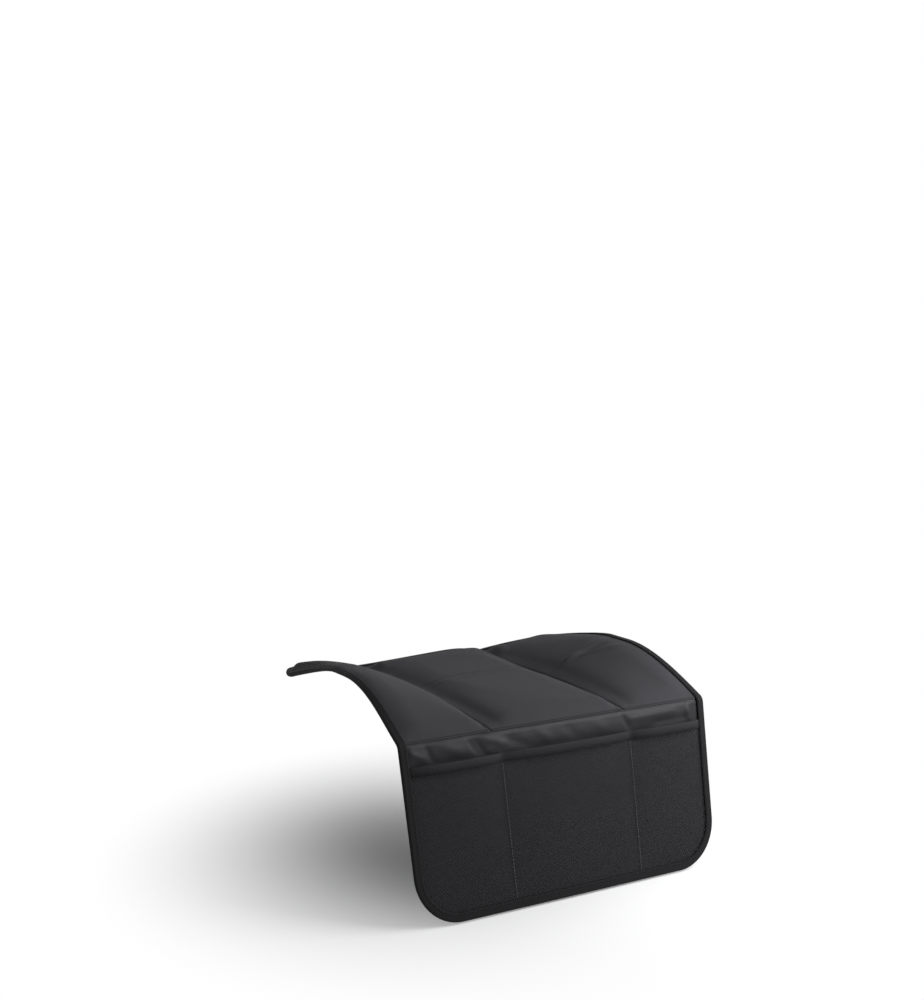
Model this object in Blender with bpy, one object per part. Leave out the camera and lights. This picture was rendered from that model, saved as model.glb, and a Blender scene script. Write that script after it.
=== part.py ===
"""Car seat protector mat: three padded panels on a non-slip backing, and a front flap with
three net pockets, bound all round with tape. Metres, +Z up, +Y towards the seat's back.

The mat is worked out as a flat cloth with coordinates (u across, v along, v = 0 at the fold
seam, v > 0 on the seat part, v < 0 on the flap). The function place() drapes a point of the
flat cloth over the cushion and lifts it along the cloth's normal. The origin is the middle of
the flat stretch on the underside, where the mat lies on the cushion.
"""

import bmesh
import bpy
import numpy as np

# Flat sizes of the mat
MAT_WIDTH = 0.458
SEAT_LENGTH = 0.384
FLAP_LENGTH = 0.2155
REAR_CORNER_RADIUS = 0.040
FLAP_CORNER_RADIUS = 0.060
SEAM_SPACING = 0.200

# Drape over the cushion: heights above the fold seam, distances back from it
CREST_START = 0.155
CREST_END = 0.195
CENTRE_CREST_HEIGHT = 0.005
SEAM_REAR_HEIGHT = 0.0015
LEFT_CREST_HEIGHT = 0.0595
RIGHT_CREST_HEIGHT = 0.0535
SIDE_REAR_HEIGHT = 0.0125
CENTRE_REAR_RISE = 0.0105
CENTRE_RISE_POWER = 1.2
CENTRE_DROP_POWER = 10.0
SIDE_REAR_WAVE = 0.002
REAR_FALL_POWER = 1.3
LEFT_EDGE_DROOP = 0.0055
DROOP_WIDTH = 0.056
DROOP_LENGTH = 0.205
DROOP_POWER = 2.0
EDGE_ROLL_WIDTH = 0.020
LEFT_ROLL_TURN = np.radians(70.0)
RIGHT_ROLL_TURN = np.radians(30.0)
LEAST_ROLL_TURN = 0.001
FLAT_HALF_WIDTH = 0.085
BOLSTER_POWER = 1.25
FLAP_TILT = np.radians(11.0)
FOLD_BLEND = 0.008
CREST_SIDE_DRAW = 0.018
FLAP_SIDE_DRAW = 0.034

# Cloth layers, measured along the cloth's normal
CLOTH_GAP = 0.0003
SEAM_GAP = 0.0006
LEAF_GAP = 0.0008
BACKING_THICKNESS = 0.0008
PAD_EDGE_THICKNESS = 0.0010
CENTRE_CROWN = 0.0080
SIDE_CROWN = 0.0070
TIGHT_SHOULDER = 0.016
BROAD_SHOULDER = 0.055
EDGE_SHOULDER = 0.030
CREASE_AT = 0.190
CREASE_HALF_WIDTH = 0.008
CREASE_DEPTH = 0.0030
FLAP_THICKNESS = 0.0010
NET_THICKNESS = 0.0005
TAPE_THICKNESS = 0.0004

# Edge binding
BINDING_WIDTH = 0.0110
BINDING_WALL = 0.0006
BINDING_PINCH = 0.0003
NET_EDGE_INSET = 0.004

# Pockets on the flap
POCKET_TOP = 0.0270
POCKET_TAPE_WIDTH = 0.0105
LEFT_DIVIDER_X = -0.090
RIGHT_DIVIDER_X = 0.104
DIVIDER_WIDTH = 0.004
POCKET_FULLNESS = 0.009
POCKET_ACROSS_POWER = 3.0
POCKET_DOWN_POWER = 2.2

# Mesh fineness
ROW_STEP = 0.025
CORNER_STEPS = 8
SIDE_COLUMNS = 9
CENTRE_COLUMNS = 9
ROLL_COLUMNS = 3
POCKET_COLUMNS = 7
NET_ROWS = 8
DRAPE_STEP = 0.001
DRAPE_STEP_ACROSS = 0.0025
DRAPE_MARGIN_STEPS = 4
SHARP_ANGLE = np.radians(40.0)

# Finishes: colour in linear values, and roughness
PAD_FINISH = ((0.030, 0.031, 0.036), 0.75)
LINING_FINISH = ((0.022, 0.022, 0.024), 0.50)
BACKING_FINISH = ((0.016, 0.016, 0.017), 0.90)
NET_FINISH = ((0.014, 0.014, 0.015), 0.80)
TAPE_FINISH = ((0.018, 0.018, 0.020), 0.60)

# Sizes that follow from those above
HALF_WIDTH = MAT_WIDTH / 2
SEAM_X = SEAM_SPACING / 2
LAYER_INSET = BINDING_WALL + CLOTH_GAP
NET_BASE = FLAP_THICKNESS + TAPE_THICKNESS + 2 * CLOTH_GAP
NET_FREE_INSET = BINDING_WIDTH + CLOTH_GAP
BINDING_LEAF_LOW = -LEAF_GAP
BINDING_LEAF_HIGH = LEAF_GAP + max(
    BACKING_THICKNESS + CLOTH_GAP + PAD_EDGE_THICKNESS, NET_BASE + NET_THICKNESS)


# Drape of the flat cloth

def smooth_hump(distance):
    """Rise of the cushion's front, from 0 at the fold seam to 1 at the crest."""
    return np.sin(np.pi / 2 * np.clip(distance / CREST_START, 0.0, 1.0))


def side_share(u):
    """0 over the flat middle of the cushion, growing to 1 at the mat's side edge."""
    reach = np.clip((np.abs(u) - FLAT_HALF_WIDTH) / (HALF_WIDTH - FLAT_HALF_WIDTH), 0.0, 1.0)
    return reach ** BOLSTER_POWER


def rear_height(u):
    """Height of the rear edge, which dips at both seams and rises under each padded panel."""
    outward = np.clip((np.abs(u) - SEAM_X) / (HALF_WIDTH - SEAM_X), 0.0, 1.0)
    side_wave = SIDE_REAR_WAVE * np.sin(np.pi * outward)
    share = np.clip((u + SEAM_X) / SEAM_SPACING, 0.0, 1.0)
    centre_wave = CENTRE_REAR_RISE * share ** CENTRE_RISE_POWER * (1.0 - share ** CENTRE_DROP_POWER)
    side_rise = outward * (SIDE_REAR_HEIGHT - SEAM_REAR_HEIGHT)
    return SEAM_REAR_HEIGHT + side_rise + side_wave + centre_wave


def cushion_slope(u, y):
    """Slope of the cushion's surface along Y at distance y behind the fold seam."""
    side_crest = np.where(u < 0, LEFT_CREST_HEIGHT, RIGHT_CREST_HEIGHT)
    crest = CENTRE_CREST_HEIGHT + side_share(u) * (side_crest - CENTRE_CREST_HEIGHT)
    front_slope = crest * np.pi / 2 / CREST_START * np.cos(np.pi / 2 * y / CREST_START)
    run = SEAT_LENGTH - CREST_END
    back = np.clip((y - CREST_END) / run, 0.0, 1.0)
    fall = crest - rear_height(u)
    back_slope = -fall * REAR_FALL_POWER * back ** (REAR_FALL_POWER - 1.0) / run
    return np.where(y < CREST_START, front_slope, np.where(y < CREST_END, 0.0, back_slope))


def edge_roll(u, v):
    """How far the cushion's rounded side edges draw the cloth in and let it down."""
    share = np.clip(1.0 - (HALF_WIDTH - np.abs(u)) / EDGE_ROLL_WIDTH, 0.0, 1.0)
    full_turn = np.where(u < 0, LEFT_ROLL_TURN, RIGHT_ROLL_TURN)
    turn = np.maximum(full_turn * smooth_hump(v), LEAST_ROLL_TURN)
    drawn = EDGE_ROLL_WIDTH * (share - np.sin(turn * share) / turn)
    down = EDGE_ROLL_WIDTH * (1.0 - np.cos(turn * share)) / turn
    return drawn, down


def drape_table():
    """Y, Z and side-to-side position of the cloth on a lattice of flat coordinates."""
    u = np.linspace(-HALF_WIDTH, HALF_WIDTH, 2 * round(HALF_WIDTH / DRAPE_STEP_ACROSS) + 1)
    steps_back = round(SEAT_LENGTH / DRAPE_STEP) + DRAPE_MARGIN_STEPS
    steps_down = round(FLAP_LENGTH / DRAPE_STEP) + DRAPE_MARGIN_STEPS
    v = DRAPE_STEP * np.arange(-steps_down, steps_back + 1)
    y = np.zeros((len(u), len(v)))
    z = np.zeros((len(u), len(v)))
    flap_angle = np.pi / 2 - FLAP_TILT
    for k in range(steps_down, len(v) - 1):
        seat_angle = np.arctan(cushion_slope(u, np.maximum(y[:, k], 0.0)))
        mix = np.clip((v[k] + DRAPE_STEP / 2 + FOLD_BLEND / 2) / FOLD_BLEND, 0.0, 1.0)
        angle = flap_angle + (seat_angle - flap_angle) * mix
        y[:, k + 1] = y[:, k] + DRAPE_STEP * np.cos(angle)
        z[:, k + 1] = z[:, k] + DRAPE_STEP * np.sin(angle)
    fold_angle = np.arctan(cushion_slope(u, np.zeros(len(u))))
    for k in range(steps_down, 0, -1):
        mix = np.clip((v[k] - DRAPE_STEP / 2 + FOLD_BLEND / 2) / FOLD_BLEND, 0.0, 1.0)
        angle = flap_angle + (fold_angle - flap_angle) * mix
        y[:, k - 1] = y[:, k] - DRAPE_STEP * np.cos(angle)
        z[:, k - 1] = z[:, k] - DRAPE_STEP * np.sin(angle)
    seat_draw = CREST_SIDE_DRAW * np.sin(np.pi * np.clip(v / SEAT_LENGTH, 0.0, 1.0))
    drawn_in = np.where(v > 0, seat_draw, FLAP_SIDE_DRAW * -v / FLAP_LENGTH)
    outward = np.clip((DROOP_WIDTH - HALF_WIDTH - u) / DROOP_WIDTH, 0.0, 1.0)
    backward = np.clip((v - SEAT_LENGTH + DROOP_LENGTH) / DROOP_LENGTH, 0.0, 1.0)
    roll_in, roll_down = edge_roll(u[:, None], v[None, :])
    z = z - LEFT_EDGE_DROOP * outward[:, None] ** DROOP_POWER * backward[None, :] - roll_down
    x = u[:, None] * (1.0 - drawn_in[None, :]) - np.sign(u)[:, None] * roll_in
    return u, v, np.stack([x, y, z], axis=-1)


TABLE_U, TABLE_V, TABLE_POINT = drape_table()


def table_normals():
    """Unit normals of the cloth's lattice, pointing up from the seat and out from the flap."""
    across = np.gradient(TABLE_POINT, TABLE_U, axis=0)
    along = np.gradient(TABLE_POINT, TABLE_V, axis=1)
    normal = np.cross(across, along)
    return normal / np.linalg.norm(normal, axis=-1, keepdims=True)


TABLE_NORMAL = table_normals()


def sample(table, u, v):
    """Value of a lattice table at flat coordinates, by straight interpolation."""
    at_u = np.interp(u, TABLE_U, np.arange(len(TABLE_U)))
    at_v = np.interp(v, TABLE_V, np.arange(len(TABLE_V)))
    i = np.minimum(at_u.astype(int), len(TABLE_U) - 2)
    j = np.minimum(at_v.astype(int), len(TABLE_V) - 2)
    a = (at_u - i)[..., None]
    b = (at_v - j)[..., None]
    near = table[i, j] * (1 - a) + table[i + 1, j] * a
    far = table[i, j + 1] * (1 - a) + table[i + 1, j + 1] * a
    return near * (1 - b) + far * b


def place(u, v, lift):
    """World points of flat coordinates lifted off the cushion along the cloth's normal."""
    u, v, lift = np.broadcast_arrays(np.asarray(u, float), v, lift)
    normal = sample(TABLE_NORMAL, u, v)
    normal = normal / np.linalg.norm(normal, axis=-1, keepdims=True)
    return sample(TABLE_POINT, u, v) + normal * lift[..., None] - ORIGIN


def cloth_length_to(y):
    """Length of cloth from the fold seam to distance y behind it, along the middle."""
    middle = sample(TABLE_POINT, np.zeros(len(TABLE_V)), TABLE_V)
    return float(np.interp(y, middle[:, 1], TABLE_V))


CREST_FROM_V = cloth_length_to(CREST_START)
CREST_TO_V = cloth_length_to(CREST_END)
ORIGIN = sample(TABLE_POINT, np.array(0.0), np.array((CREST_FROM_V + CREST_TO_V) / 2))


# Outline of the flat mat

def half_width_at(v, inset):
    """Half the mat's width at v, with the rounded corners, inset from its edge."""
    corner = np.where(v > 0, REAR_CORNER_RADIUS, FLAP_CORNER_RADIUS)
    radius = corner - inset
    length = np.where(v > 0, SEAT_LENGTH, FLAP_LENGTH)
    over = np.clip(np.abs(v) - (length - corner), 0.0, radius)
    return HALF_WIDTH - corner + np.sqrt(np.maximum(radius ** 2 - over ** 2, 0.0))


def edge_distance(u, v):
    """Distance inwards from the mat's outline."""
    corner = np.where(v > 0, REAR_CORNER_RADIUS, FLAP_CORNER_RADIUS)
    length = np.where(v > 0, SEAT_LENGTH, FLAP_LENGTH)
    du = np.abs(u) - (HALF_WIDTH - corner)
    dv = np.abs(v) - (length - corner)
    outside = np.hypot(np.maximum(du, 0.0), np.maximum(dv, 0.0))
    return corner - outside - np.minimum(np.maximum(du, dv), 0.0)


def corner_rows(length, corner, inset):
    """Rows along v through a rounded corner at the end of a length."""
    radius = corner - inset
    turn = np.linspace(0.0, np.pi / 2, CORNER_STEPS + 1)
    return (length - corner) + radius * np.sin(turn)


def even_rows(start, stop):
    """Rows between two ends, about ROW_STEP apart, without the ends."""
    count = max(2, round((stop - start) / ROW_STEP))
    return np.linspace(start, stop, count + 1)[1:-1]


FOLD_ROWS = np.array([0.0, 0.25, 0.5, 1.0, 2.0]) * FOLD_BLEND


def seat_side_rows():
    """Rows of the seat part, from beside the fold seam to where its rear corners start."""
    crest = [CREST_FROM_V + DRAPE_STEP, CREASE_AT - CREASE_HALF_WIDTH, CREASE_AT,
             CREASE_AT + CREASE_HALF_WIDTH]
    front = even_rows(FOLD_ROWS[-1], crest[0])
    back = even_rows(crest[-1], SEAT_LENGTH - REAR_CORNER_RADIUS)
    fold = FOLD_ROWS.copy()
    fold[0] = SEAM_GAP / 2
    return np.concatenate([fold, front, crest, back])


def seat_rows(inset):
    return np.concatenate([seat_side_rows(), corner_rows(SEAT_LENGTH, REAR_CORNER_RADIUS, inset)])


def flap_side_rows():
    """Rows of the flap, as distances down from the fold seam to its lower corners."""
    fold = FOLD_ROWS.copy()
    fold[0] = SEAM_GAP / 2
    tape = [POCKET_TOP, POCKET_TOP + POCKET_TAPE_WIDTH]
    down = even_rows(tape[-1], FLAP_LENGTH - FLAP_CORNER_RADIUS)
    return np.concatenate([fold, tape, down])


def flap_rows(inset):
    return np.concatenate([flap_side_rows(), corner_rows(FLAP_LENGTH, FLAP_CORNER_RADIUS, inset)])


def side_columns(half, seam, count):
    """Columns from a seam to the mat's edge, close in the roll, with three across the binding."""
    roll = seam + TIGHT_SHOULDER * np.linspace(0.0, 1.0, ROLL_COLUMNS + 1)[:-1]
    open_part = np.linspace(seam + TIGHT_SHOULDER, half - BINDING_WIDTH, count - ROLL_COLUMNS)
    return np.concatenate([roll, open_part, [half - BINDING_WIDTH / 2, half]])


def centre_columns(seam):
    """Columns from seam to seam, close in the roll down to the right seam."""
    open_part = np.linspace(-seam, seam - TIGHT_SHOULDER, CENTRE_COLUMNS + 1 - ROLL_COLUMNS)
    roll = seam - TIGHT_SHOULDER * np.linspace(1.0, 0.0, ROLL_COLUMNS + 1)[1:]
    return np.concatenate([open_part, roll])


def columns_across(half_widths):
    """Columns of a full-width layer for each row's half width, with one at each seam."""
    middle = centre_columns(SEAM_X)[1:-1]
    rows = []
    for half in half_widths:
        right = side_columns(half, SEAM_X, SIDE_COLUMNS)
        rows.append(np.concatenate([-right[::-1], middle, right]))
    return np.array(rows)


# Closed solids from grids of points

def make_object(name, bm, finish):
    """Turn a bmesh into a smooth-shaded object with its own material."""
    bmesh.ops.recalc_face_normals(bm, faces=bm.faces)
    mesh = bpy.data.meshes.new(name)
    bm.to_mesh(mesh)
    bm.free()
    mesh.shade_smooth()
    mesh.set_sharp_from_angle(angle=SHARP_ANGLE)
    material = bpy.data.materials.new(name)
    material.use_nodes = True
    shader = material.node_tree.nodes["Principled BSDF"]
    colour, roughness = finish
    shader.inputs["Base Color"].default_value = (*colour, 1.0)
    shader.inputs["Roughness"].default_value = roughness
    shader.inputs["Metallic"].default_value = 0.0
    mesh.materials.append(material)
    item = bpy.data.objects.new(name, mesh)
    bpy.context.scene.collection.objects.link(item)
    return item


def sheet_solid(name, low, high, finish):
    """Closed solid between two grids of points, each of rows by columns by 3."""
    bm = bmesh.new()
    rows, columns = low.shape[:2]
    under = [[bm.verts.new(low[i, j]) for j in range(columns)] for i in range(rows)]
    over = [[bm.verts.new(high[i, j]) for j in range(columns)] for i in range(rows)]
    for i in range(rows - 1):
        for j in range(columns - 1):
            bm.faces.new((over[i][j], over[i][j + 1], over[i + 1][j + 1], over[i + 1][j]))
            bm.faces.new((under[i][j], under[i + 1][j], under[i + 1][j + 1], under[i][j + 1]))
    rim = [(0, j) for j in range(columns)] + [(i, columns - 1) for i in range(1, rows)]
    rim += [(rows - 1, j) for j in range(columns - 2, -1, -1)] + [(i, 0) for i in range(rows - 2, 0, -1)]
    for (i, j), (k, m) in zip(rim, rim[1:] + rim[:1]):
        bm.faces.new((under[i][j], under[k][m], over[k][m], over[i][j]))
    return make_object(name, bm, finish)


def channel_solid(name, sections, closed, finish):
    """Closed solid swept through sections, each an outline of the same number of points."""
    bm = bmesh.new()
    rings = [[bm.verts.new(point) for point in section] for section in sections]
    pairs = list(zip(rings, rings[1:]))
    if closed:
        pairs.append((rings[-1], rings[0]))
    count = len(rings[0])
    for near, far in pairs:
        for k in range(count):
            m = (k + 1) % count
            bm.faces.new((near[k], near[m], far[m], far[k]))
    if not closed:
        bm.faces.new(rings[0])
        bm.faces.new(rings[-1])
        bmesh.ops.triangulate(bm, faces=[f for f in bm.faces if len(f.verts) > 4])
    return make_object(name, bm, finish)


# Padded seat panels

def shoulder(distance, width):
    """Rounded rise of the padding from a sewn edge, 0 at the edge and 1 past the shoulder."""
    return np.sin(np.pi / 2 * np.clip(distance / width, 0.0, 1.0))


def seam_rise(u):
    """Rise from the seams: each panel rolls tightly down to its right seam, broadly to its left."""
    rise = np.ones(np.shape(u))
    for seam in (-SEAM_X, SEAM_X):
        tight = shoulder(seam - u, TIGHT_SHOULDER)
        broad = shoulder(u - seam, BROAD_SHOULDER)
        rise = rise * np.where(u < seam, tight, broad)
    return rise


def pad_thickness(u, v, crown):
    """Thickness of the padding, thin at every seam and under the binding."""
    from_binding = edge_distance(u, v) - BINDING_WIDTH
    crease = 1.0 - np.clip(np.abs(v - CREASE_AT) / CREASE_HALF_WIDTH, 0.0, 1.0)
    rise = seam_rise(u) * shoulder(from_binding, EDGE_SHOULDER) * shoulder(v, EDGE_SHOULDER)
    full = np.maximum(crown * rise - CREASE_DEPTH * crease * rise, 0.0)
    return PAD_EDGE_THICKNESS + full


def pad(name, columns_of_row, crown):
    """One padded panel, with its columns given for each row's half width."""
    v = seat_rows(LAYER_INSET)
    u = np.array([columns_of_row(half) for half in half_width_at(v, LAYER_INSET)])
    v = np.repeat(v[:, None], u.shape[1], axis=1)
    base = BACKING_THICKNESS + CLOTH_GAP
    low = place(u, v, base)
    high = place(u, v, base + pad_thickness(u, v, crown))
    return sheet_solid(name, low, high, PAD_FINISH)


def seat_panels():
    seam = SEAM_X - SEAM_GAP / 2
    outer_seam = SEAM_X + SEAM_GAP / 2
    middle = centre_columns(seam)
    pad("seat_panel_left", lambda half: -side_columns(half, outer_seam, SIDE_COLUMNS)[::-1], SIDE_CROWN)
    pad("seat_panel_centre", lambda half: middle, CENTRE_CROWN)
    pad("seat_panel_right", lambda half: side_columns(half, outer_seam, SIDE_COLUMNS), SIDE_CROWN)


# Backing and flap

def backing():
    v = seat_rows(LAYER_INSET)
    u = columns_across(half_width_at(v, LAYER_INSET))
    v = np.repeat(v[:, None], u.shape[1], axis=1)
    sheet_solid("non_slip_backing", place(u, v, 0.0), place(u, v, BACKING_THICKNESS), BACKING_FINISH)


def flap_panel():
    v = -flap_rows(LAYER_INSET)
    u = columns_across(half_width_at(v, LAYER_INSET))
    v = np.repeat(v[:, None], u.shape[1], axis=1)
    pinched = np.where(edge_distance(u, v) < BINDING_WIDTH, BINDING_PINCH, 0.0)
    sheet_solid("flap_panel", place(u, v, pinched), place(u, v, FLAP_THICKNESS), LINING_FINISH)


# Net pockets

def pocket_edges(side):
    """The three pockets' sides, for a net that is free out to a distance side from the middle."""
    pressed = DIVIDER_WIDTH / 2
    return [(-side, LEFT_DIVIDER_X - pressed), (LEFT_DIVIDER_X + pressed, RIGHT_DIVIDER_X - pressed),
            (RIGHT_DIVIDER_X + pressed, side)]


def pocket_columns(side):
    """Columns across the net that follow the three pockets."""
    pockets = pocket_edges(side)
    return np.concatenate([np.linspace(left, right, POCKET_COLUMNS + 1) for left, right in pockets])


def pocket_fullness(u, v):
    """How far the net stands off the flap: full at the mouth, nothing at the sewn edges."""
    depth = np.clip((-v - POCKET_TOP) / (FLAP_LENGTH - NET_FREE_INSET - POCKET_TOP), 0.0, 1.0)
    total = np.zeros(np.broadcast(u, v).shape)
    for left, right in pocket_edges(HALF_WIDTH - NET_FREE_INSET):
        share = np.clip((u - left) / (right - left), 0.0, 1.0)
        total = total + 1.0 - np.abs(2.0 * share - 1.0) ** POCKET_ACROSS_POWER
    room = np.clip((edge_distance(u, v) - NET_FREE_INSET) / FLAP_CORNER_RADIUS, 0.0, 1.0)
    rounding = 1.0 - (1.0 - room) ** POCKET_ACROSS_POWER
    fade = 1.0 - depth ** POCKET_DOWN_POWER
    return POCKET_FULLNESS * np.minimum(total, rounding) * fade


def pocket_net():
    down = np.concatenate([np.linspace(POCKET_TOP, FLAP_LENGTH - FLAP_CORNER_RADIUS, NET_ROWS)[:-1],
                           corner_rows(FLAP_LENGTH, FLAP_CORNER_RADIUS, NET_FREE_INSET),
                           corner_rows(FLAP_LENGTH, FLAP_CORNER_RADIUS, NET_EDGE_INSET)[-2:]])
    half = half_width_at(-down, NET_EDGE_INSET)
    free = np.minimum(half_width_at(-down, NET_FREE_INSET), half - NET_FREE_INSET + NET_EDGE_INSET)
    u = np.array([np.concatenate([[-outer], pocket_columns(inner), [outer]])
                  for outer, inner in zip(half, free)])
    v = np.repeat(-down[:, None], u.shape[1], axis=1)
    base = NET_BASE + pocket_fullness(u, v)
    sheet_solid("pocket_net", place(u, v, base), place(u, v, base + NET_THICKNESS), NET_FINISH)


def pocket_tape():
    """Tape folded over the net's top edge; its section is a U that opens downwards."""
    across = pocket_columns(HALF_WIDTH - NET_FREE_INSET)
    inner_low = -CLOTH_GAP
    inner_high = NET_THICKNESS + CLOTH_GAP
    outer_low = inner_low - TAPE_THICKNESS
    outer_high = inner_high + TAPE_THICKNESS
    top = POCKET_TOP - CLOTH_GAP - TAPE_THICKNESS
    under_fold = POCKET_TOP - CLOTH_GAP
    lower = top + POCKET_TAPE_WIDTH
    outline = [(lower, outer_low), (top, outer_low), (top, outer_high), (lower, outer_high),
               (lower, inner_high), (under_fold, inner_high), (under_fold, inner_low),
               (lower, inner_low)]
    sections = []
    for u in across:
        down = np.array([d for d, _ in outline])
        lift = np.array([h for _, h in outline])
        stand_off = NET_BASE + pocket_fullness(np.full(len(down), u), -down)
        sections.append(place(np.full(len(down), u), -down, stand_off + lift))
    channel_solid("pocket_tape", sections, False, TAPE_FINISH)


# Edge binding

def corner_stations(centre_u, centre_v, radius, first_angle):
    """Stations round a corner, counter-clockwise over a quarter turn."""
    turn = first_angle + np.linspace(0.0, np.pi / 2, CORNER_STEPS + 1)
    return [(centre_u + radius * np.cos(a), centre_v + radius * np.sin(a), -np.cos(a), -np.sin(a))
            for a in turn]


def across_stations(reach, v, inward_v):
    """Stations along a straight end of the mat at the layers' own columns, without the ends."""
    return [(u, v, 0.0, inward_v) for u in columns_across([reach])[0][1:-1]]


def outline_stations():
    """Points on the mat's outline with the inward direction there, once round."""
    side_v = np.concatenate([-flap_side_rows()[:0:-1], [0.0], seat_side_rows()[1:]])
    rear_u = HALF_WIDTH - REAR_CORNER_RADIUS
    rear_v = SEAT_LENGTH - REAR_CORNER_RADIUS
    low_u = HALF_WIDTH - FLAP_CORNER_RADIUS
    low_v = FLAP_CORNER_RADIUS - FLAP_LENGTH
    stations = [(HALF_WIDTH, v, -1.0, 0.0) for v in side_v]
    stations += corner_stations(rear_u, rear_v, REAR_CORNER_RADIUS, 0.0)
    stations += across_stations(rear_u, SEAT_LENGTH, -1.0)[::-1]
    stations += corner_stations(-rear_u, rear_v, REAR_CORNER_RADIUS, np.pi / 2)
    stations += [(-HALF_WIDTH, v, 1.0, 0.0) for v in side_v[::-1]]
    stations += corner_stations(-low_u, low_v, FLAP_CORNER_RADIUS, np.pi)
    stations += across_stations(low_u, -FLAP_LENGTH, 1.0)
    stations += corner_stations(low_u, low_v, FLAP_CORNER_RADIUS, 3 * np.pi / 2)
    return stations


def edge_binding():
    """Tape folded over the whole outer edge; its section is a U that opens inwards."""
    outer_low = BINDING_LEAF_LOW - BINDING_WALL
    outer_high = BINDING_LEAF_HIGH + BINDING_WALL
    half_way = (BINDING_WIDTH + BINDING_WALL) / 2
    outline = [(BINDING_WIDTH, outer_low), (half_way, outer_low), (0.0, outer_low), (0.0, outer_high),
               (half_way, outer_high), (BINDING_WIDTH, outer_high), (BINDING_WIDTH, BINDING_LEAF_HIGH),
               (half_way, BINDING_LEAF_HIGH), (BINDING_WALL, BINDING_LEAF_HIGH),
               (BINDING_WALL, BINDING_LEAF_LOW), (half_way, BINDING_LEAF_LOW),
               (BINDING_WIDTH, BINDING_LEAF_LOW)]
    inset = np.array([d for d, _ in outline])
    lift = np.array([h for _, h in outline])
    sections = [place(u + inset * inward_u, v + inset * inward_v, lift)
                for u, v, inward_u, inward_v in outline_stations()]
    channel_solid("edge_binding", sections, True, TAPE_FINISH)


def main():
    for item in list(bpy.data.objects):
        bpy.data.objects.remove(item)
    seat_panels()
    backing()
    flap_panel()
    pocket_net()
    pocket_tape()
    edge_binding()


main()
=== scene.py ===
"""Looks of the car seat protector mat: cloth, padding, net, tape, thread, light and camera.

Metres, +Z up, +Y towards the seat's back. As in the solids, the mat is a flat cloth with
coordinates (u across, v along, v = 0 at the fold seam, v > 0 on the seat part, v < 0 on the
flap), and place() drapes a point of it over the cushion.
"""

import bmesh
import bpy
import numpy as np
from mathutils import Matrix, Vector


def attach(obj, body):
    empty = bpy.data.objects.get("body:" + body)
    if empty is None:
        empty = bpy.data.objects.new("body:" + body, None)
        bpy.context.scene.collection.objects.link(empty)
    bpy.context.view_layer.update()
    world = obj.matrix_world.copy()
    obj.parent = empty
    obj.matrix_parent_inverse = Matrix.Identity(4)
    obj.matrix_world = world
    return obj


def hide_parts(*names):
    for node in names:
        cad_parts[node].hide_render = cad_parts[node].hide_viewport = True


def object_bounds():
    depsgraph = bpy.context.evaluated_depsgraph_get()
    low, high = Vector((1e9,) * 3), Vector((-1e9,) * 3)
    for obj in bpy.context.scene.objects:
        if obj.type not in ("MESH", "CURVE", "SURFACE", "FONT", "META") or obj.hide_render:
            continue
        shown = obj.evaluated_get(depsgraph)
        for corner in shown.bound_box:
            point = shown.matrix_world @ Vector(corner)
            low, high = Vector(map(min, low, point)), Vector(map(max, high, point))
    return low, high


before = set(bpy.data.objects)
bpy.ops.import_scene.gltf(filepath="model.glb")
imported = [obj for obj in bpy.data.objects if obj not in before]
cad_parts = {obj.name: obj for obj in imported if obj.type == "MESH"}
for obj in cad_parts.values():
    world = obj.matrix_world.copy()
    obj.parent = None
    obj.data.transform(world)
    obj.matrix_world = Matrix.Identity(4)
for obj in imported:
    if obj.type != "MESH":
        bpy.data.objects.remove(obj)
CAD_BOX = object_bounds()

# Flat sizes of the mat, as the solids have them
MAT_WIDTH = 0.458
SEAT_LENGTH = 0.384
FLAP_LENGTH = 0.2155
REAR_CORNER_RADIUS = 0.040
FLAP_CORNER_RADIUS = 0.060
SEAM_SPACING = 0.200

# Drape over the cushion: heights above the fold seam, distances back from it
CREST_START = 0.155
CREST_END = 0.195
CENTRE_CREST_HEIGHT = 0.005
SEAM_REAR_HEIGHT = 0.0015
LEFT_CREST_HEIGHT = 0.0595
RIGHT_CREST_HEIGHT = 0.0535
SIDE_REAR_HEIGHT = 0.0125
CENTRE_REAR_RISE = 0.0105
CENTRE_RISE_POWER = 1.2
CENTRE_DROP_POWER = 10.0
SIDE_REAR_WAVE = 0.002
REAR_FALL_POWER = 1.3
LEFT_EDGE_DROOP = 0.0055
DROOP_WIDTH = 0.056
DROOP_LENGTH = 0.205
DROOP_POWER = 2.0
EDGE_ROLL_WIDTH = 0.020
LEFT_ROLL_TURN = np.radians(70.0)
RIGHT_ROLL_TURN = np.radians(30.0)
LEAST_ROLL_TURN = 0.001
FLAT_HALF_WIDTH = 0.085
BOLSTER_POWER = 1.25
FLAP_TILT = np.radians(11.0)
FOLD_BLEND = 0.008
CREST_SIDE_DRAW = 0.018
FLAP_SIDE_DRAW = 0.034
DRAPE_STEP = 0.001
DRAPE_STEP_ACROSS = 0.0025
DRAPE_MARGIN_STEPS = 4

# Cloth layers, measured along the cloth's normal
CLOTH_GAP = 0.0003
SEAM_GAP = 0.0006
LEAF_GAP = 0.0008
BACKING_THICKNESS = 0.0008
PAD_EDGE_THICKNESS = 0.0010
CENTRE_CROWN = 0.0080
SIDE_CROWN = 0.0070
TIGHT_SHOULDER = 0.016
EDGE_SHOULDER = 0.030
FLAP_THICKNESS = 0.0010
NET_THICKNESS = 0.0005
TAPE_THICKNESS = 0.0004

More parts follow.
